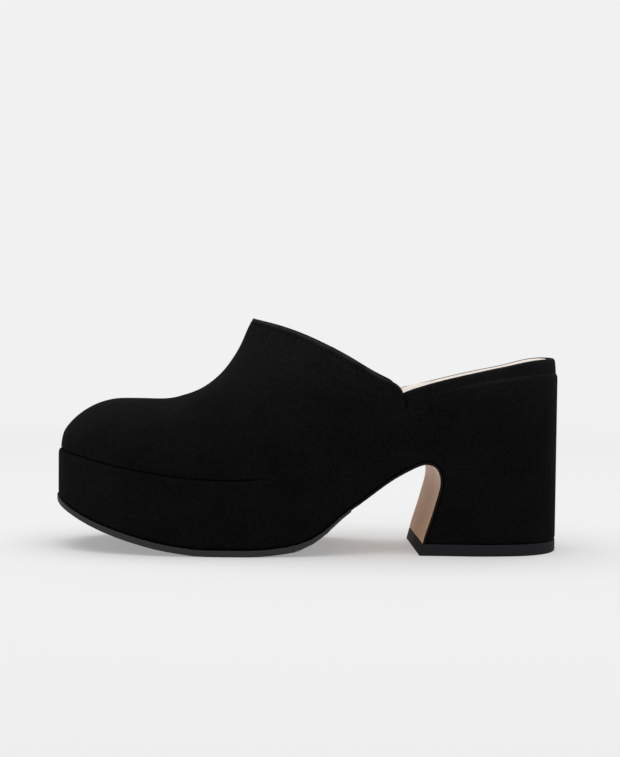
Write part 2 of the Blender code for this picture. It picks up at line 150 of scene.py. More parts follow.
# %% Finishes
class Finish(NodeTree):
    """A Principled material that is being put together."""

    def __init__(self, name, colour, roughness, **constants):
        self.material = bpy.data.materials.new(name)
        self.material.use_nodes = True
        super().__init__(self.material.node_tree)
        self.shader = self.tree.nodes["Principled BSDF"]
        self.shader.inputs["Base Color"].default_value = (*colour, 1.0)
        self.shader.inputs["Roughness"].default_value = roughness
        for socket, value in constants.items():
            self.shader.inputs[socket.replace("_", " ")].default_value = value
        self.place = self.node("TexCoord", output="Object")

    def along(self, axis):
        """The place along one axis, in metres."""
        return self.node("SeparateXYZ", sockets={"Vector": self.place}, output=axis)

    def noise(self, size, detail=2.0, stretch=(1, 1, 1), roughness=0.5):
        """Smooth noise from 0 to 1 whose spots are about size metres across."""
        vector = self.node("VectorMath", {"operation": "MULTIPLY"}, {0: self.place, 1: stretch})
        sockets = {"Vector": vector, "Scale": 1 / size, "Detail": detail, "Roughness": roughness}
        return self.node("TexNoise", sockets=sockets)

    def cells(self, size):
        """Distance from the middle of the nearest cell, as pores and pebbled grain have it."""
        return self.node("TexVoronoi", sockets={"Vector": self.place, "Scale": 1 / size}, output="Distance")

    def mix(self, share, first, second):
        """Two colours mixed by a share."""
        settings = {"data_type": "RGBA", "clamp_factor": True}
        return self.node("Mix", settings, {0: share, 6: first, 7: second}, output=2)

    def colour(self, value):
        self.tree.links.new(value.socket, self.shader.inputs["Base Color"])

    def roughness(self, value):
        self.tree.links.new(value.socket, self.shader.inputs["Roughness"])

    def relief(self, height, depth, strength=1.0):
        """A bump whose height of 1 stands for depth metres."""
        normal = self.node("Bump", sockets={"Height": height, "Distance": depth, "Strength": strength})
        self.tree.links.new(normal.socket, self.shader.inputs["Normal"])


print("finishes can be made")

# %% [markdown]
# ## Suede
#
# Suede is leather with its flesh side out, buffed to a short nap. Dyed black, it gives back hardly any
# light: less than one part in a hundred, without gloss, and a little more where the nap is seen edge on,
# which is what sheen does. Two noises of about 1 mm and 15 mm stand for nap that lies this way and that,
# and a fine one for its ends. Light from above is painted into the colour: the suede is painted lighter
# high on the shoe, and the same lighter tones go a little towards the toe. A painted highlight is lightest
# where an attribute of the piece marks an edge that catches the light.

# %% Suede finish
SUEDE_TONES = (0.0022, 0.0022, 0.0023, 1.0), (0.0072, 0.0072, 0.0073, 1.0)
PAINTED_LIGHT_TONES = (0.0050, 0.0050, 0.0050, 1.0), (0.0135, 0.0134, 0.0132, 1.0)
PAINTED_HIGHLIGHT_TONE = (0.030, 0.0295, 0.029, 1.0)
PAINTED_LIGHT_FROM, PAINTED_LIGHT_TO = 56 * MM, 106 * MM
TOE_FROM, TOE_TO = -60 * MM, -118 * MM
TOE_SHARE = 0.4
NAP_END = 0.35 * MM
NAP_TUFT = 1.1 * MM
NAP_STROKE = 15 * MM
NAP_DEPTH = 0.22 * MM
HIGHLIGHT_PATCH = 6 * MM


def suede_finish():
    suede = Finish(
        "black_suede", SUEDE_TONES[0][:3], 0.92, Specular_IOR_Level=0.02,
        Sheen_Weight=0.006, Sheen_Roughness=0.45, Sheen_Tint=(1.0, 1.0, 1.0, 1.0),
    )
    ends = suede.noise(NAP_END, detail=3)
    tufts = suede.noise(NAP_TUFT, detail=3, roughness=0.6)
    strokes = suede.noise(NAP_STROKE, detail=2, stretch=(0.7, 1, 1))
    lie = (0.20 * strokes + 0.50 * tufts + 0.40 * ends).rise(0.36, 0.74)
    base_suede = suede.mix(lie, *SUEDE_TONES)
    lit_suede = suede.mix(lie, *PAINTED_LIGHT_TONES)
    # painted light: lighter tones high on the shoe, where the light from above falls, and a little towards
    # the toe
    high_up = suede.along("Z").rise(PAINTED_LIGHT_FROM, PAINTED_LIGHT_TO)
    at_toe = (0 - suede.along("X")).rise(-TOE_FROM, -TOE_TO)
    painted_light = suede.mix(high_up + TOE_SHARE * at_toe, base_suede, lit_suede)
    # painted highlight: a lighter tone, broken into patches, where a piece's attribute marks an edge that
    # catches the light
    painted_highlight = suede.node("Attribute", {"attribute_name": "painted_highlight"}, output="Fac")
    patches = suede.noise(HIGHLIGHT_PATCH, detail=3).rise(0.35, 0.62)
    suede.colour(suede.mix(painted_highlight * (0.4 + 0.6 * patches), painted_light, PAINTED_HIGHLIGHT_TONE))
    suede.roughness(0.84 + 0.14 * tufts)
    suede.relief(0.5 * ends + 0.5 * tufts, NAP_DEPTH, 0.7)
    return suede.material


suede = suede_finish()
print(suede.name, "has", len(suede.node_tree.nodes), "nodes")

# %% [markdown]
# ## Lining, sock, cover and rubber
#
# The vamp is lined with thin black leather. The sock is smooth cream leather with fine pores. The cover
# under the arch is natural tan leather, greyer high up in the shadow of the arch and warmer near the
# floor. Its cut edges are dyed. The tread and the top lift are black rubber, one moulded and greyish, the
# other darker with a cool tinge.

# %% Lining and sock leather
LINING_TONES = (0.0028, 0.0027, 0.0026, 1.0), (0.0055, 0.0053, 0.0051, 1.0)
LINING_GRAIN, LINING_CLOUD = 0.9 * MM, 6 * MM
CREAM_TONES = (0.91, 0.83, 0.755, 1.0), (0.83, 0.735, 0.645, 1.0)
CREAM_PORE, CREAM_CREASE, CREAM_CLOUD = 0.55 * MM, 2.2 * MM, 14 * MM


def lining_finish():
    lining = Finish("lining_leather", (0.004, 0.004, 0.004), 0.6, Specular_IOR_Level=0.05)
    grain = lining.cells(LINING_GRAIN)
    spread = lining.noise(LINING_CLOUD)
    lining.colour(lining.mix(spread, *LINING_TONES))
    lining.roughness(0.5 + 0.2 * spread)
    lining.relief(grain, 0.08 * MM, 0.6)
    return lining.material


def sock_finish():
    sock = Finish("cream_leather", (0.88, 0.80, 0.72), 0.5, Specular_IOR_Level=0.4, Coat_Weight=0.03)
    clouds = sock.noise(CREAM_CLOUD, detail=3)
    pores = sock.cells(CREAM_PORE)
    creases = sock.noise(CREAM_CREASE, detail=3, stretch=(1, 0.4, 1))
    sock.colour(sock.mix(clouds.rise(0.3, 0.75), *CREAM_TONES))
    sock.roughness(0.42 + 0.14 * creases)
    sock.relief(0.7 * pores + 0.3 * creases, 0.06 * MM, 0.6)
    return sock.material


lining_leather = lining_finish()
cream_leather = sock_finish()
print("finishes:", lining_leather.name, cream_leather.name)

# %% Cover leather and edge dye
WARM_TANS = (0.47, 0.205, 0.060, 1.0), (0.62, 0.34, 0.135, 1.0)
GREY_TANS = (0.62, 0.435, 0.31, 1.0), (0.74, 0.53, 0.40, 1.0)
TAN_PORE, TAN_STREAK, TAN_CLOUD = 0.45 * MM, 2.2 * MM, 9 * MM
DYE_TONES = (0.006, 0.006, 0.006, 1.0), (0.012, 0.0115, 0.0115, 1.0)
DYE_BEAD = 1.2 * MM


def cover_finish(low, high):
    cover = Finish("tan_leather", (0.42, 0.27, 0.17), 0.5, Specular_IOR_Level=0.4)
    height = cover.along("Z").rise(low, high)
    streaks = cover.noise(TAN_STREAK, detail=4, stretch=(1, 1, 0.3), roughness=0.6)
    clouds = cover.noise(TAN_CLOUD)
    warm = cover.mix(streaks.rise(0.35, 0.65), *WARM_TANS)
    grey = cover.mix(clouds.rise(0.3, 0.7), *GREY_TANS)
    cover.colour(cover.mix(height, warm, grey))
    cover.roughness(0.40 + 0.2 * streaks)
    cover.relief(0.6 * cover.cells(TAN_PORE) + 0.4 * streaks, 0.05 * MM, 0.5)
    return cover.material


def edge_dye_finish():
    dye = Finish("edge_dye", (0.004, 0.004, 0.004), 0.8, Specular_IOR_Level=0.05)
    beads = dye.noise(DYE_BEAD, detail=3)
    dye.colour(dye.mix(beads, *DYE_TONES))
    dye.roughness(0.7 + 0.2 * beads)
    dye.relief(beads, 0.08 * MM, 0.6)
    return dye.material


cover_low, cover_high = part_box("breast_cover")
tan_leather = cover_finish(cover_low.z, cover_high.z)
edge_dye = edge_dye_finish()
print("finishes:", tan_leather.name, edge_dye.name)

# %% Rubber
MOULDED_TONE = (0.033, 0.033, 0.034)
TRIMMED_TONE = (0.0185, 0.0185, 0.022)
RUBBER_WIPE = 12 * MM


def rubber_finish(name, tone, roughness, gloss, grit):
    rubber = Finish(name, tone, roughness, Specular_IOR_Level=gloss)
    specks = rubber.noise(grit, detail=3)
    wipes = rubber.noise(RUBBER_WIPE, detail=2, stretch=(0.3, 1, 1))
    dark = (*(0.75 * value for value in tone), 1.0)
    light = (*(1.3 * value for value in tone), 1.0)
    rubber.colour(rubber.mix(0.5 * specks + 0.5 * wipes, dark, light))
    rubber.roughness(roughness - 0.1 + 0.2 * wipes)
    rubber.relief(specks, 0.06 * MM, 0.5)
    return rubber.material


moulded_rubber = rubber_finish("moulded_rubber", MOULDED_TONE, 0.65, gloss=0.20, grit=0.6 * MM)
trimmed_rubber = rubber_finish("trimmed_rubber", TRIMMED_TONE, 0.75, gloss=0.08, grit=0.4 * MM)
print("finishes:", moulded_rubber.name, trimmed_rubber.name)

# %% [markdown]
# ## Copies of the solids
#
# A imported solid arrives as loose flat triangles. Its shape is true, but its facets show on a soft shoe. So
# each piece starts as a copy of its solid: the triangles are merged, paired into four-sided faces and
# smoothed, and then it gets what the real piece has and the solid hasn't. The copy stands for its solid,
# which is hidden. Softer shapes are made by moving the copy's points as rows of numbers, with soft steps
# that say how much of a move each point gets.

# %% Helpers: one piece at a time
def only(piece):
    """Makes one piece the only selected one, and the active one."""
    bpy.ops.object.select_all(action="DESELECT")
    piece.select_set(True)
    bpy.context.view_layer.objects.active = piece


def modify(piece, kind, **settings):
    """Adds a modifier to a piece, makes its settings and applies it."""
    only(piece)
    bpy.ops.object.modifier_add(type=kind)
    step = piece.modifiers[-1]
    for name, value in settings.items():
        setattr(step, name, value)
    bpy.ops.object.modifier_apply(modifier=step.name)


def pick(piece, kind, test):
    """In edit mode, selects the vertices, edges or faces that pass a test, and nothing else."""
    bpy.ops.mesh.select_mode(type=kind)
    bpy.ops.mesh.select_all(action="DESELECT")
    mesh = bmesh.from_edit_mesh(piece.data)
    parts = {"VERT": mesh.verts, "EDGE": mesh.edges, "FACE": mesh.faces}[kind]
    chosen = [part for part in parts if test(part)]
    for part in chosen:
        part.select_set(True)
    mesh.select_flush_mode()
    bmesh.update_edit_mesh(piece.data)
    return len(chosen)


print("pieces can be worked on")

# %% Helpers: copies that stand for their solids
MERGE_DISTANCE = 0.02 * MM
PAIR_ANGLES = {"face_threshold": math.radians(60), "shape_threshold": math.radians(70)}


def merged_copy(node, name):
    """A new piece from a solid's mesh, merged and paired into four-sided faces."""
    piece = bpy.data.objects.new(name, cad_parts[node].data.copy())
    bpy.context.scene.collection.objects.link(piece)
    piece.data.name = name
    piece.data.materials.clear()
    only(piece)
    bpy.ops.mesh.customdata_custom_splitnormals_clear()
    bpy.ops.object.mode_set(mode="EDIT")
    bpy.ops.mesh.select_all(action="SELECT")
    bpy.ops.mesh.remove_doubles(threshold=MERGE_DISTANCE)
    bpy.ops.mesh.tris_convert_to_quads(**PAIR_ANGLES)
    bpy.ops.object.mode_set(mode="OBJECT")
    return piece


def dress(piece, node, slot, *materials):
    """Gives a piece its materials, its solid and its body."""
    for material in materials:
        piece.data.materials.append(material)
    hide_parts(node)
    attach(piece, "root")
    count = sum(len(face.vertices) - 2 for face in piece.data.polygons)
    print(piece.name, "stands for", node, "with", count, "triangles")


print("copies can be made")

# %% Helpers: points as rows of numbers
def points_of(piece):
    """The places of a piece's vertices, as rows."""
    places = np.empty(len(piece.data.vertices) * 3)
    piece.data.vertices.foreach_get("co", places)
    return places.reshape(-1, 3)


def normals_of(piece):
    normals = np.empty(len(piece.data.vertices) * 3)
    piece.data.vertices.foreach_get("normal", normals)
    return normals.reshape(-1, 3)


def put_points(piece, places):
    piece.data.vertices.foreach_set("co", places.ravel())
    piece.data.update()


def paint_highlight(piece, shares):
    """Marks how much painted highlight each point of a suede piece gets, which its finish reads."""
    painted_highlight = piece.data.attributes.new("painted_highlight", "FLOAT", "POINT")
    painted_highlight.data.foreach_set("value", shares)


def smooth_step(value, start, end):
    """0 before start, 1 after end, and a soft step between, for numbers or rows of them."""
    share = np.clip((value - start) / (end - start), 0, 1)
    return share * share * (3 - 2 * share)


def hump(value, start, full, less, end):
    """1 from full to less, 0 before start and after end, and soft steps between."""
    return smooth_step(value, start, full) * (1 - smooth_step(value, less, end))


def distances(places, line):
    """The distance from each place to a line of points."""
    nearest = np.full(len(places), 1.0)
    for a, b in zip(line, line[1:]):
        a, run = np.array(a), np.array(b) - np.array(a)
        share = np.clip((places - a) @ run / (run @ run), 0, 1)
        nearest = np.minimum(nearest, np.linalg.norm(places - a - share[:, None] * run, axis=1))
    return nearest


print("points can be moved")

# %% [markdown]
# ## Vamp
#
# The vamp is one piece of suede pulled over the last, lined, with its back edge folded over and stitched
# down. The solid has the true shape of its outer face, so that face alone is kept. Edge rings are cut near
# the topline, Solidify gives the wall with the lining on its inner face, Bevel rounds the fold, and
# Subdivision Surface makes the whole of it smooth.

# %% Vamp: the outer face
WALL = 2.0 * MM
TOE_AREA = -60 * MM
SAME_PLACE = 0.01 * MM
SKIN_SHARPNESS = math.radians(50)

vamp = merged_copy("upper", "vamp")
bpy.ops.object.mode_set(mode="EDIT")
skin = bmesh.from_edit_mesh(vamp.data)
seed = max((face for face in skin.faces if face.calc_center_median().x < TOE_AREA),
           key=lambda face: face.calc_center_median().z)
top_of_toe = seed.calc_center_median()
pick(vamp, "FACE", lambda face: (face.calc_center_median() - top_of_toe).length < SAME_PLACE)
bpy.ops.mesh.faces_select_linked_flat(sharpness=SKIN_SHARPNESS)
bpy.ops.mesh.select_all(action="INVERT")
bpy.ops.mesh.delete(type="FACE")
bpy.ops.object.mode_set(mode="OBJECT")
print("outer face:", len(vamp.data.polygons), "faces")

# %% Vamp: its two borders
def border(piece):
    """The points round the open edge of a one-sided mesh, in order."""
    mesh = bmesh.new()
    mesh.from_mesh(piece.data)
    start = next(edge for edge in mesh.edges if edge.is_boundary)
    walk = [start.verts[0], start.verts[1]]
    while walk[-1] != walk[0]:
        steps = [edge.other_vert(walk[-1]) for edge in walk[-1].link_edges if edge.is_boundary]
        walk.append(next(vert for vert in steps if vert != walk[-2]))
    points = [vert.co.copy() for vert in walk[:-1]]
    mesh.free()
    return points


def split_at_tails(points):
    """The topline and the foot of the vamp, both from the outer tail to the inner one."""
    outer = max((point for point in points if point.y < 0), key=lambda point: point.x)
    inner = max((point for point in points if point.y > 0), key=lambda point: point.x)
    ring = points[points.index(outer):] + points[:points.index(outer)]
    end = ring.index(inner)
    first, second = ring[:end + 1], [outer] + ring[:end - 1:-1]
    over = max(point.z for point in first) > max(point.z for point in second)
    return (first, second) if over else (second, first)


topline, foot_line = split_at_tails(border(vamp))
print("topline:", len(topline), "points, foot:", len(foot_line), "points")

# %% Vamp: wall, folded edge and smooth surface
TOPLINE_RINGS = 4
FOLD_ROUND = 0.8 * MM
FOLD_ANGLE = math.radians(60)


def rounded(point):
    return tuple(round(value, 6) for value in point)


on_topline = {rounded(point) for point in topline}
only(vamp)
bpy.ops.object.mode_set(mode="EDIT")
pick(vamp, "EDGE", lambda edge: sum(rounded(vert.co) in on_topline for vert in edge.verts) == 1)
bpy.ops.mesh.subdivide_edgering(number_cuts=TOPLINE_RINGS, interpolation="SURFACE", smoothness=1.0)
bpy.ops.object.mode_set(mode="OBJECT")
vamp.data.materials.append(suede)
vamp.data.materials.append(lining_leather)
modify(vamp, "SOLIDIFY", thickness=WALL, offset=-1.0, use_even_offset=True, material_offset=1)
modify(vamp, "BEVEL", width=FOLD_ROUND, segments=2, limit_method="ANGLE", angle_limit=FOLD_ANGLE)
modify(vamp, "SUBSURF", levels=2, render_levels=2)
bpy.ops.object.shade_smooth()
print("vamp:", len(vamp.data.polygons), "faces")

# %% [markdown]
# ## Lifted topline, creases and sunken seam
#
# Behind the instep the topline stands up a little higher than the solid's, above all on the outer side. A
# vamp is never quite smooth either. A shallow valley runs up the side of the waist to the tail, where the
# suede is drawn tight between the foot and the heel seat, a few soft waves lie over the bend of the toes,
# and a line is pressed in where the topline's fold is stitched. Each is a trough or a ridge along a line,
# placed in millimetres of this shoe. It pushes points towards the heart of the shoe, an inner line that
# both faces of the wall share, so the wall keeps its thickness.

# %% Vamp: its topline is lifted
EDGE_LIFT = 1.1 * MM
INNER_LIFT = 0.3
INNER_LIFT_ENDS = 20 * MM
LIFT_SPAN = (-45 * MM, 5 * MM)
LIFT_REACH = 14 * MM


def lift_edge(places, from_top):
    """Raises the topline behind the instep, more on the outer side, where it is drawn up."""
    x = places[:, 0]
    share = smooth_step(x, *LIFT_SPAN) * (1 - smooth_step(from_top, 0, LIFT_REACH))
    side = np.where(places[:, 1] < 0, 1.0, INNER_LIFT * (1 - smooth_step(x, 0, INNER_LIFT_ENDS)))
    places[:, 2] += EDGE_LIFT * side * share
    return places


places = points_of(vamp)
places = lift_edge(places, distances(places, topline))
topline = [Vector(place) for place in lift_edge(np.array(topline), 0.0)]
print("the topline rises by up to", round(EDGE_LIFT / MM, 1), "mm")

# %% Vamp: its creases in millimetres
Crease = namedtuple("Crease", "start end width depth")
CREASES = (
    Crease((12, -38, 51), (43, -33, 69), 8.0, 0.9),
    Crease((12, 37, 51), (43, 29, 69), 8.0, 0.7),
    Crease((-72, -30, 62), (-66, 6, 71), 6.0, 0.35),
    Crease((-58, -34, 58), (-52, 0, 71), 5.0, -0.25),
    Crease((-44, -38, 56), (-36, -14, 74), 6.0, 0.30),
    Crease((-62, 34, 58), (-52, 12, 71), 6.0, 0.30),
    Crease((-22, -30, 92), (8, -41, 72), 7.0, 0.35),
    Crease((-20, 28, 92), (8, 40, 72), 7.0, 0.30),
)
print(len(CREASES), "creases")

# %% Vamp: inwards and outwards
HEART_HEIGHT = 50 * MM
HEART_SPAN = (-85 * MM, 60 * MM)


def inwards_of(places):
    """The way from each place towards the heart of the shoe, the same for both faces of the wall."""
    heart = np.array([places[:, 0], np.zeros(len(places)), np.full(len(places), HEART_HEIGHT)]).T
    heart[:, 0] = np.clip(heart[:, 0], *HEART_SPAN)
    way = heart - places
    return way / np.linalg.norm(way, axis=1)[:, None]


def looks_out(piece, inwards):
    """1 on the outer face of a wall, 0 on its inner face."""
    return smooth_step(np.einsum("ij,ij->i", normals_of(piece), -inwards), 0.0, 0.3)


inwards = inwards_of(places)
outer_face = looks_out(vamp, inwards)
print("points on the outer face:", int((outer_face > 0.5).sum()), "of", len(places))

# %% Vamp: troughs and ridges
STITCH_LINE = 2.6 * MM
STITCH_WIDTH = 0.8 * MM
STITCH_DEPTH = 0.10 * MM
FOLD_WIDTH = 6.5 * MM
FOLD_SOFT = 1.2 * MM
FOLD_STEP = 0.12 * MM

push = np.zeros(len(places))
for crease in CREASES:
    ends = [Vector(crease.start) * MM, Vector(crease.end) * MM]
    push += crease.depth * MM * np.exp(-(distances(places, ends) / (crease.width * MM)) ** 2 * 2)
from_top = distances(places, topline)
groove = 1 - smooth_step(abs(from_top - STITCH_LINE), 0.2 * STITCH_WIDTH, STITCH_WIDTH)
fold = 1 - smooth_step(from_top, FOLD_WIDTH - FOLD_SOFT, FOLD_WIDTH)
push += outer_face * (STITCH_DEPTH * groove - FOLD_STEP * fold)
put_points(vamp, places + inwards * push[:, None])
print("deepest crease:", round(push.max() / MM, 2), "mm")

# %% Vamp: a painted highlight along its folded edge
HIGHLIGHT_WIDTH = 1.5 * MM
HIGHLIGHT_ABOVE_FOOT = 7 * MM

# painted highlight: the outer face just below the topline, where the fold catches the light, is painted
# lighter, but not near the foot
at_edge = 1 - smooth_step(from_top, 0.5 * HIGHLIGHT_WIDTH, HIGHLIGHT_WIDTH)
from_foot = distances(places, foot_line)
above_foot = smooth_step(from_foot, 0.6 * HIGHLIGHT_ABOVE_FOOT, 1.4 * HIGHLIGHT_ABOVE_FOOT)
paint_highlight(vamp, outer_face * at_edge * above_foot)
dress(vamp, "upper", "suede")

# %% [markdown]
# ## Platform and heel
#
# Platform and block heel are wrapped in one piece of suede, so no edge of theirs is sharp. The solid was
# cut to shape and its faces are long and thin, which no smoothing likes. A voxel remesh gives it even
# faces, and a few passes of smoothing round its edges by about a millimetre, as leather over foam does.
# Smoothing also draws the back of the heel in by half a millimetre, which is given back.

# %% Platform and heel
COVER_VOXEL = 1.0 * MM
COVER_SMOOTHING = 6
HEEL_FROM, HEEL_TO = 95 * MM, 113 * MM
COVER_FILL, SEAT_FILL, LIFT_FILL = 0.5 * MM, 0.8 * MM, 0.4 * MM


def fill_heel(piece, length):
    """Moves the back of the heel out, which smoothing has drawn in."""
    places = points_of(piece)
    places[:, 0] += length * smooth_step(places[:, 0], HEEL_FROM, HEEL_TO)
    put_points(piece, places)


platform = merged_copy("sole_unit", "platform")
modify(platform, "REMESH", mode="VOXEL", voxel_size=COVER_VOXEL, adaptivity=0.0)
modify(platform, "SMOOTH", factor=0.5, iterations=COVER_SMOOTHING)
fill_heel(platform, COVER_FILL)
bpy.ops.object.shade_smooth()
dress(platform, "sole_unit", "suede", suede)

# %% [markdown]
# ## Vamp on the platform
#
# The tail of the vamp ends in a rounded corner that drops steeply to the seat, so what lies near it slides
# a little towards the toe, and down along the slope of the seat. The corner's own foot slides further,
# which makes the drop steep. Behind the ball the vamp is lasted over the platform's edge and glued to its
# side, where its skived edge all but vanishes. So there the foot of its outer face moves down and out onto
# the platform's side, which a ray from outside finds.

# %% The seat that all this lies on
SEAT_STEPS = np.arange(20, 117, 2) * MM

platform_tree = BVHTree.FromObject(platform, bpy.context.evaluated_depsgraph_get())
seat = [platform_tree.ray_cast(Vector((x, 0, 0.2)), Vector((0, 0, -1)))[0].z for x in SEAT_STEPS]


def seat_at(x):
    """The height of the platform's top at x, measured along its middle."""
    return np.interp(x, SEAT_STEPS, seat)


def side_of(tree, x, z, side):
    """How far out a piece's side lies at x and z."""
    return tree.ray_cast(Vector((x, side * 0.1, z)), Vector((0, -side, 0)))[0].y


print("the seat rises from", round(seat[0] / MM, 1), "to", round(seat[-1] / MM, 1), "mm")

# %% Vamp: the tail slides towards the toe
TAIL_SLIDE = 1.8 * MM
SLIDE_SPAN = (41 * MM, 47.5 * MM, 54 * MM, 80 * MM)
HOLDS_SLOPE, LEAVES_SLOPE = 1 * MM, 5 * MM
CORNER_SLIDE = 1.5 * MM
CORNER_HEIGHT = (5 * MM, 10 * MM)


def slide(places, on_slope, length=TAIL_SLIDE):
    """Slides places near the tail towards the toe. Where on_slope is 1 they keep to the seat's slope."""
    x = places[:, 0].copy()
    places[:, 0] -= length * hump(x, *SLIDE_SPAN)
    places[:, 2] += on_slope * (seat_at(places[:, 0]) - seat_at(x))
    return places


def near_foot(places):
    """1 on the foot of the vamp, which has to stay on the seat, and 0 well above it."""
    return 1 - smooth_step(distances(places, foot_line), HOLDS_SLOPE, LEAVES_SLOPE)


def slid_line(line, on_slope):
    return [Vector(place) for place in slide(np.array(line), on_slope)]


places = points_of(vamp)
on_slope = near_foot(places)
places = slide(places, on_slope)
below = seat_at(places[:, 0])
low_down = 1 - smooth_step(places[:, 2] - below, *CORNER_HEIGHT)
places[:, 0] -= CORNER_SLIDE * low_down * smooth_step(places[:, 0], *SLIDE_SPAN[:2])
places[:, 2] += on_slope * (seat_at(places[:, 0]) - below)
put_points(vamp, places)
topline = slid_line(topline, near_foot(np.array(topline)))
foot_line = slid_line(foot_line, 1.0)
print("the tail ends at x =", round(topline[0].x / MM, 1), "mm")

# %% Vamp: its foot on the platform
FLUSH_FROM, FLUSH_TO = -28 * MM, -6 * MM
FLUSH_DOWN = 2.5 * MM
FLUSH_SUNK = 0.1 * MM
FLUSH_HEIGHT = 5.5 * MM
FOOT_ROUND = 1.6 * MM
SEAM_CLOSED = 0.35 * MM

from_foot = distances(places, foot_line)
outer_face = looks_out(vamp, inwards_of(places))
at_corner = 1 - smooth_step(from_foot, 0.25 * FOOT_ROUND, FOOT_ROUND)
share = (1 - smooth_step(from_foot, 0, FLUSH_HEIGHT)) * np.maximum(outer_face, at_corner)
places[:, 2] -= SEAM_CLOSED * (1 - smooth_step(from_foot, WALL, 2 * WALL))
for side in (-1, 1):
    foot = np.array(sorted(tuple(point) for point in foot_line if point.y * side > 0))
    stations = np.linspace(FLUSH_FROM, foot[-1, 0], 60)
    flush = smooth_step(stations, FLUSH_FROM, FLUSH_TO)
    foot_y, foot_z = (np.interp(stations, foot[:, 0], foot[:, axis]) for axis in (1, 2))
    lies_at = [side_of(platform_tree, x, z, side) for x, z in zip(stations, foot_z - FLUSH_DOWN)]
    out = (np.array(lies_at) - side * FLUSH_SUNK - foot_y) * flush
    down = (FLUSH_DOWN - SEAM_CLOSED) * flush
    here = (places[:, 1] * side > 0) & (places[:, 0] > FLUSH_FROM)
    places[here, 1] += share[here] * np.interp(places[here, 0], stations, out)
    places[here, 2] -= share[here] * np.interp(places[here, 0], stations, down)
    print("side", side, "moves out by up to", round(abs(out).max() / MM, 2), "mm")
put_points(vamp, places)

# %% [markdown]
# ## The platform's edge beside the seat
#
# Behind the vamp, the platform's suede is drawn up round the insole on the outer side and at the heel, so
# the insole's own rim shows as a thin line. Stations along the shoe say how far the edge rises. Only what
# is near the side moves, less and less with depth and towards the inner side. The top of the new edge gets
# a little painted highlight, where it catches the light from above.

# %% Platform: its edge rises beside the seat
LIP_STATIONS = np.array((46.5, 50, 88, 112)) * MM
LIP_HEIGHTS = np.array((0, 3.6, 2.6, 1.3)) * MM
LIP_DEPTH = 6 * MM
LIP_WIDTH = (1.5 * MM, 3.5 * MM)
LIP_FADES = (-20 * MM, 20 * MM)
LIP_HIGHLIGHT = 0.3
LIP_HIGHLIGHT_DEPTH = (-1.8 * MM, -0.6 * MM)
LIP_HIGHLIGHT_FROM = (60 * MM, 85 * MM)
SIDES_END = 110 * MM
SIDE_DEPTH = 3 * MM
ROUND_HEEL = (95 * MM, 105 * MM)

places = points_of(platform)
x, y, z = places.T
top = seat_at(x)
heel_steps = SEAT_STEPS[SEAT_STEPS < SIDES_END]
sides = [side_of(platform_tree, at, height - SIDE_DEPTH, -1) for at, height in zip(heel_steps, seat)]
from_side = y - np.interp(x, heel_steps, sides)
at_side = np.maximum(1 - smooth_step(from_side, *LIP_WIDTH), smooth_step(x, *ROUND_HEEL))
near_top = smooth_step(z - top, -LIP_DEPTH, 0) * (1 - smooth_step(y, *LIP_FADES))
# painted highlight: the top of the raised edge, where it catches the light from above, is painted a little
# lighter
on_edge = smooth_step(z - top, *LIP_HIGHLIGHT_DEPTH) * at_side * smooth_step(x, *LIP_HIGHLIGHT_FROM)
places[:, 2] += np.interp(x, LIP_STATIONS, LIP_HEIGHTS) * at_side * near_top
put_points(platform, places)
paint_highlight(platform, LIP_HIGHLIGHT * on_edge)
print("the edge of the platform rises by up to", round(LIP_HEIGHTS.max() / MM, 1), "mm")

# %% [markdown]
# ## Topline stitches
#
# One row of thread holds the fold. A stitch is modelled once, as a short thread that dives at both ends,
# and is copied along a line that runs inside the topline on the vamp's outer face. The copies are joined
# into one piece.

# %% One stitch
STITCH_LENGTH = 2.1 * MM
THREAD = 0.34 * MM
ENDS_FROM = 0.4
ENDS_DIVE = 0.45
ENDS_WIDTH = 0.75


def stitch_mesh(length, thickness):
    """One stitch along X at the origin, whose ends bend down."""
    bpy.ops.object.select_all(action="DESELECT")
    bpy.ops.mesh.primitive_cylinder_add(
        vertices=8, radius=thickness / 2, depth=length, rotation=(0, math.pi / 2, 0))
    stitch = bpy.context.object
    bpy.ops.object.transform_apply(location=False, rotation=True, scale=False)
    bpy.ops.object.mode_set(mode="EDIT")
    pick(stitch, "EDGE", lambda edge: abs(edge.verts[0].co.x - edge.verts[1].co.x) > length / 2)
    bpy.ops.mesh.subdivide(number_cuts=4)
    pick(stitch, "VERT", lambda vert: abs(vert.co.x) > ENDS_FROM * length)
    bpy.ops.transform.translate(value=(0, 0, -ENDS_DIVE * thickness))
    bpy.ops.transform.resize(value=(1.0, ENDS_WIDTH, 1.0))
    bpy.ops.object.mode_set(mode="OBJECT")
    mesh = stitch.data
    bpy.data.objects.remove(stitch)
    return mesh


thread = Finish("black_thread", (0.003, 0.003, 0.003), 0.9, Specular_IOR_Level=0.0)
ply = thread.noise(0.3 * MM, detail=1)
thread.colour(thread.mix(ply, (0.0035, 0.0035, 0.0035, 1.0), (0.0095, 0.0095, 0.0095, 1.0)))
thread.relief(ply, 0.05 * MM)
print("thread is ready")

# %% Lines that stitches follow
def surface_tree(surface):
    return BVHTree.FromObject(surface, bpy.context.evaluated_depsgraph_get())


def spaced(line, pitch):
    """Points and directions along a line of points, one pitch apart."""
    steps = [(b - a).length for a, b in zip(line, line[1:])]
    count = int(sum(steps) / pitch)
    found = []
    i, passed = 0, 0.0
    for k in range(count):
        at = (k + 0.5) * sum(steps) / count
        while passed + steps[i] < at:
            passed += steps[i]
            i += 1
        way = (line[i + 1] - line[i]).normalized()
        found.append((line[i] + way * (at - passed), way))
    return found


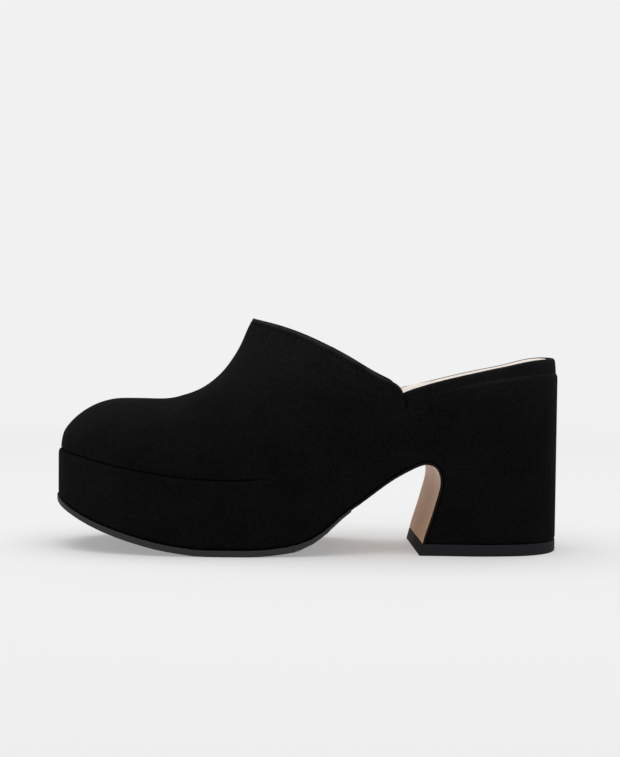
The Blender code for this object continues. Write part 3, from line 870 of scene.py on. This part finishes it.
def inside_line(line, towards, distance, surface):
    """A line at a distance inside the topline, on the outer face."""
    tree = surface_tree(surface)
    moved = []
    for i, point in enumerate(line):
        run = line[min(i + 1, len(line) - 1)] - line[max(i - 1, 0)]
        spot, normal, *_ = tree.find_nearest(point + (towards[i] - point).normalized() * distance)
        side = normal.cross(run).normalized()
        side *= math.copysign(1, side.dot(towards[i] - point))
        moved.append(tree.find_nearest(point + side * distance)[0])
    return moved


print("lines can be followed")

# %% Stitches
STITCH_PITCH = 2.7 * MM
INTO_VAMP = Vector((-30 * MM, 0, -12 * MM))
TAIL_CLEAR = 4 * MM


def sew(name, line, surface, pitch, stitch, material):
    """A row of stitches along a line, laid on a surface, as one piece."""
    tree = surface_tree(surface)
    row = bmesh.new()
    for point, way in spaced(line, pitch):
        spot, normal, *_ = tree.find_nearest(point)
        across = normal.cross(way).normalized()
        turn = Matrix((way, across, way.cross(across))).transposed().to_4x4()
        before = len(row.verts)
        row.from_mesh(stitch)
        row.verts.ensure_lookup_table()
        bmesh.ops.transform(row, matrix=Matrix.Translation(spot) @ turn, verts=row.verts[before:])
    mesh = bpy.data.meshes.new(name)
    row.to_mesh(mesh)
    row.free()
    piece = bpy.data.objects.new(name, mesh)
    bpy.context.scene.collection.objects.link(piece)
    mesh.materials.append(material)
    mesh.shade_smooth()
    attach(piece, "root")
    return piece


forward = [point + INTO_VAMP for point in topline]
stitch_path = inside_line(topline, forward, STITCH_LINE, vamp)
ends_clear = [point for point in stitch_path if point.x < topline[0].x - TAIL_CLEAR]
one_stitch = stitch_mesh(STITCH_LENGTH, THREAD)
topline_stitches = sew("topline_stitches", ends_clear, vamp, STITCH_PITCH, one_stitch, thread.material)
print("stitches:", len(topline_stitches.data.polygons), "faces")

# %% [markdown]
# ## Insole rim and sock
#
# The insole is a padded board wrapped in suede, and the cream sock is glued into it. Both solids are rings
# laid on each other, so Subdivision Surface smooths them well once the sharp rings have a bevel to hold
# them. Behind the vamp the insole has settled and leans evenly to the inner side, so less of the sock
# shows from the outer side, and the sock has swelled until it is level with the rim. Only what stands high
# over the seat leans, so the sock keeps its thickness, and the insole's foot stays on the platform.

# %% Insole
RIM_EDGE = 0.5 * MM
EDGE_ANGLE = math.radians(55)
STANDS_HIGH = (1.5 * MM, 4 * MM)
SEAT_RAISED = 0.3 * MM
HEEL_RAISED = 0.5 * MM
HEEL_RAISED_FROM = (90 * MM, 104 * MM)
SETTLED = 2.6 * MM
SETTLED_FROM, SETTLED_TO = -26 * MM, 28 * MM
SETTLED_SPAN = (38 * MM, 64 * MM, 96 * MM, 120 * MM)
RIM_SLIDE = TAIL_SLIDE + 1.6 * MM


def settle(piece):
    """Raises what lies high over the seat a little, and lowers it towards the inner side."""
    places = points_of(piece)
    x = places[:, 0]
    high = smooth_step(places[:, 2] - seat_at(x), *STANDS_HIGH)
    inner_side = np.clip((places[:, 1] - SETTLED_FROM) / (SETTLED_TO - SETTLED_FROM), 0, 1)
    raised = SEAT_RAISED + HEEL_RAISED * smooth_step(x, *HEEL_RAISED_FROM)
    places[:, 2] += high * (raised - SETTLED * hump(x, *SETTLED_SPAN) * inner_side)
    put_points(piece, places)
    fill_heel(piece, SEAT_FILL)


insole = merged_copy("insole", "insole_rim")
modify(insole, "BEVEL", width=RIM_EDGE, segments=2, limit_method="ANGLE", angle_limit=EDGE_ANGLE)
modify(insole, "SUBSURF", levels=2, render_levels=2)
settle(insole)
put_points(insole, slide(points_of(insole), 1.0, RIM_SLIDE))
print("insole:", len(insole.data.polygons), "faces")

# %% Insole: its foot sinks into the platform's padding
RIM_DOWN = 1.3 * MM
RIM_FOOT = 2.4 * MM
RIM_HEIGHT = 7 * MM
RIM_DRAFT = 0.5 * MM
RIM_DRAFT_FROM = (96 * MM, 110 * MM)
RIM_FULL = 0.5 * MM
RIM_BEHIND_VAMP = (40 * MM, 46 * MM)
RIM_BY_TAIL = (*RIM_BEHIND_VAMP, 50 * MM, 66 * MM)
RIM_TOP = (0.6, 0.95)
RIM_HIGHLIGHT = 0.5

places = points_of(insole)
ways_out = normals_of(insole)
rim_top = smooth_step(ways_out[:, 2], *RIM_TOP)
ways_out[:, 2] = 0
x = places[:, 0].copy()
height = places[:, 2] - seat_at(x)
foot_share = (1 - smooth_step(height, 0, RIM_FOOT)) * smooth_step(x, *RIM_BEHIND_VAMP)
draft = np.clip(height / RIM_HEIGHT, 0, 1) * smooth_step(x, *RIM_DRAFT_FROM)
places += ways_out * (RIM_FULL * hump(x, *RIM_BY_TAIL) - RIM_DRAFT * draft)[:, None]
places[:, 2] -= RIM_DOWN * foot_share
put_points(insole, places)
# painted highlight: the rim's faces that look upwards, where the light from above falls, are painted a
# little lighter
paint_highlight(insole, RIM_HIGHLIGHT * rim_top)
bpy.ops.object.shade_smooth()
dress(insole, "insole", "suede", suede)

# %% Sock
SOCK_EDGE = 0.35 * MM
SOCK_SWELL = 0.15 * MM
SOCK_SWELL_FROM = (44 * MM, 64 * MM)

sock = merged_copy("sock", "sock_lining")
modify(sock, "BEVEL", width=SOCK_EDGE, segments=2, limit_method="ANGLE", angle_limit=EDGE_ANGLE)
modify(sock, "SUBSURF", levels=2, render_levels=2)
settle(sock)
places = points_of(sock)
upper_face = smooth_step(normals_of(sock)[:, 2], 0.0, 0.5)
places[:, 2] += SOCK_SWELL * upper_face * smooth_step(places[:, 0], *SOCK_SWELL_FROM)
put_points(sock, places)
bpy.ops.object.shade_smooth()
dress(sock, "sock", "sock_leather", cream_leather)

# %% [markdown]
# ## Cover under the arch
#
# A strip of tan leather covers the arch and the front of the heel. Its skived edge is dyed black, so that
# from the side only the strip's own face is tan. Faces that look sideways or into the heel get the dye,
# and so does the front end. A fine bevel, half of which stays tan, catches the light as the cut edge does.
# The front end runs on until it meets the tread.

# %% Breast cover
COVER_EDGE = 0.30 * MM
SIDEWAYS = 0.7
FROM_ARCH = Vector((-0.6, 0, -0.8))
INTO_HEEL = 0.1
FRONT_END = 2.0 * MM
FRONT_CLOSED = 0.55 * MM
FRONT_SPAN = (22.5 * MM, 26 * MM)

cover = merged_copy("breast_cover", "arch_cover")
cover.data.materials.append(tan_leather)
cover.data.materials.append(edge_dye)
modify(cover, "BEVEL", width=COVER_EDGE, segments=2, limit_method="ANGLE", angle_limit=EDGE_ANGLE)
bpy.ops.object.mode_set(mode="EDIT")
dyed = pick(cover, "FACE", lambda face: abs(face.normal.y) > SIDEWAYS
            or face.normal.dot(FROM_ARCH) < INTO_HEEL
            or face.calc_center_median().x < cover_low.x + FRONT_END)
cover.active_material_index = 1
bpy.ops.object.material_slot_assign()
bpy.ops.object.mode_set(mode="OBJECT")
modify(cover, "SUBSURF", levels=2, render_levels=2)
places = points_of(cover)
places[:, 0] -= FRONT_CLOSED * (1 - smooth_step(places[:, 0], *FRONT_SPAN))
put_points(cover, places)
bpy.ops.object.shade_smooth()
print("dyed faces:", dyed)
dress(cover, "breast_cover", "breast_leather")

# %% [markdown]
# ## Tread
#
# The rubber tread is a thin plate, thinner towards the toe, with a plain border and fine cross ribs inside
# it, where the foot bears. Its lower edge is bevelled, because moulded rubber has no sharp one. The
# grooves between the ribs are cut from bars: each bar reaches as far as the plate is wide where it lies,
# less the border, and they are joined and taken away in one cut.

# %% Outsole: the plate
TOE_THINNED = 0.7 * MM
TOE_SPAN = (-119 * MM, -80 * MM)
TREAD_EDGE = 0.5 * MM
LOOKS_DOWN, LOOKS_ASIDE = -0.8, -0.3

outsole = merged_copy("outsole", "tread")
places = points_of(outsole)
lower_face = smooth_step(-normals_of(outsole)[:, 2], 0.3, 0.6)
places[:, 2] += TOE_THINNED * lower_face * (1 - smooth_step(places[:, 0], *TOE_SPAN))
put_points(outsole, places)
bpy.ops.object.mode_set(mode="EDIT")
lower_edges = pick(outsole, "EDGE", lambda edge: len(edge.link_faces) == 2
                   and min(face.normal.z for face in edge.link_faces) < LOOKS_DOWN
                   and max(face.normal.z for face in edge.link_faces) > LOOKS_ASIDE)
bpy.ops.mesh.bevel(offset=TREAD_EDGE, segments=2)
bpy.ops.object.mode_set(mode="OBJECT")
print("lower edges of the tread:", lower_edges)

# %% Outsole: its grooves
GROOVE_PITCH = 4.2 * MM
GROOVE_WIDTH = 1.0 * MM
GROOVE_DEPTH = 0.8 * MM
GROOVES_FROM, GROOVES_TO = -106 * MM, 2 * MM
TREAD_BORDER = 7 * MM
TREAD_MIDDLE = 1.2 * MM
TREAD_SHARPNESS = math.radians(35)


def reach(surface, x, z, side):
    """How far a plate reaches to one side at x and z."""
    hit, point, *_ = surface.ray_cast(Vector((x, side * 0.2, z)), Vector((0, -side, 0)))
    return point.y if hit else 0.0


def underside(surface, x):
    hit, point, *_ = surface.ray_cast(Vector((x, 0, -0.05)), Vector((0, 0, 1)))
    return point.z


bars = []
groove_count = int((GROOVES_TO - GROOVES_FROM) / GROOVE_PITCH)
bpy.ops.object.select_all(action="DESELECT")
for i in range(groove_count):
    x = GROOVES_FROM + i * GROOVE_PITCH
    floor_at = underside(outsole, x)
    left = reach(outsole, x, floor_at + TREAD_MIDDLE, -1) + TREAD_BORDER
    right = reach(outsole, x, floor_at + TREAD_MIDDLE, 1) - TREAD_BORDER
    size = (GROOVE_WIDTH, right - left, 2 * GROOVE_DEPTH)
    bpy.ops.mesh.primitive_cube_add(size=1, location=(x, (left + right) / 2, floor_at), scale=size)
    bars.append(bpy.context.object)
for bar in bars:
    bar.select_set(True)
bpy.ops.object.join()
cutter = bpy.context.object
modify(outsole, "BOOLEAN", operation="DIFFERENCE", object=cutter, solver="EXACT")
bpy.data.objects.remove(cutter)
bpy.ops.object.shade_smooth_by_angle(angle=TREAD_SHARPNESS)
print("grooves:", groove_count)
dress(outsole, "outsole", "tread_rubber", moulded_rubber)

# %% [markdown]
# ## Top lift
#
# The heel stands on a rubber piece that is trimmed flush with the suede. Trimming leaves a crisp edge,
# broken by a fine bevel that catches the light.

# %% Top lift
LIFT_BEVEL = 0.35 * MM
LIFT_ANGLE = math.radians(40)

lift = merged_copy("top_lift", "heel_lift")
bpy.ops.object.mode_set(mode="EDIT")
bpy.ops.mesh.select_all(action="SELECT")
bpy.ops.mesh.dissolve_limited(angle_limit=math.radians(1))
bpy.ops.object.mode_set(mode="OBJECT")
fill_heel(lift, LIFT_FILL)
modify(lift, "BEVEL", width=LIFT_BEVEL, segments=2, limit_method="ANGLE", angle_limit=LIFT_ANGLE)
bpy.ops.object.shade_smooth_by_angle(angle=LIFT_ANGLE)
dress(lift, "top_lift", "top_lift_rubber", trimmed_rubber)

# %% [markdown]
# ## Studio
#
# The photograph is lit softly from above on a seamless pale ground. The camera sees the backdrop at its
# full brightness, and the shoe gets half of it as sky. The floor near the shoe takes its shadow, and
# further out it turns into the colour of the backdrop, so no horizon shows from any side.

# %% Backdrop
BACKDROP = (0.878, 0.881, 0.881, 1.0)
SKY_STRENGTH = 0.5

bpy.context.scene.view_settings.view_transform = "Standard"

world = bpy.data.worlds.new("studio")
world.use_nodes = True
bpy.context.scene.world = world
sky = NodeTree(world.node_tree)
sky.tree.nodes.remove(sky.tree.nodes["Background"])
dim = sky.node("Background", sockets={"Color": BACKDROP, "Strength": SKY_STRENGTH})
bright = sky.node("Background", sockets={"Color": BACKDROP})
seen = sky.node("LightPath", output="Is Camera Ray")
sky.show(sky.node("MixShader", sockets={0: seen, 1: dim, 2: bright}))
print("the sky has", SKY_STRENGTH, "of the backdrop's strength")

# %% Floor
FLOOR_RADIUS = 4.0
FLOOR_TONE = 0.84
FLOOR_GLOW = 0.35
SHADOW_REACH = (0.30, 0.95)

bpy.ops.mesh.primitive_circle_add(vertices=96, radius=FLOOR_RADIUS, fill_type="NGON", location=(0, 0, 0))
floor = bpy.context.object
floor.name = "floor"
ground = Finish("floor", (FLOOR_TONE,) * 3, 0.9, Specular_IOR_Level=0.0)
distance = ground.node("VectorMath", {"operation": "LENGTH"}, {0: ground.place}, output="Value")
far = FLOOR_GLOW + (1 - FLOOR_GLOW) * distance.rise(*SHADOW_REACH)
matt = Wire(ground, ground.shader.outputs[0])
glow = ground.node("Emission", sockets={"Color": BACKDROP})
ground.show(ground.node("MixShader", sockets={0: far, 1: matt, 2: glow}))
floor.data.materials.append(ground.material)
print("floor:", FLOOR_RADIUS, "m round the shoe")

# %% Key light
KEY_SIZE = 1.6
KEY_PLACE = (0.0, 0.05, 1.25)
KEY_POWER = 15

bpy.ops.object.light_add(type="AREA", location=KEY_PLACE)
key = bpy.context.object
key.name = "key_light"
key.data.size = KEY_SIZE
key.data.energy = KEY_POWER
print("studio is lit")
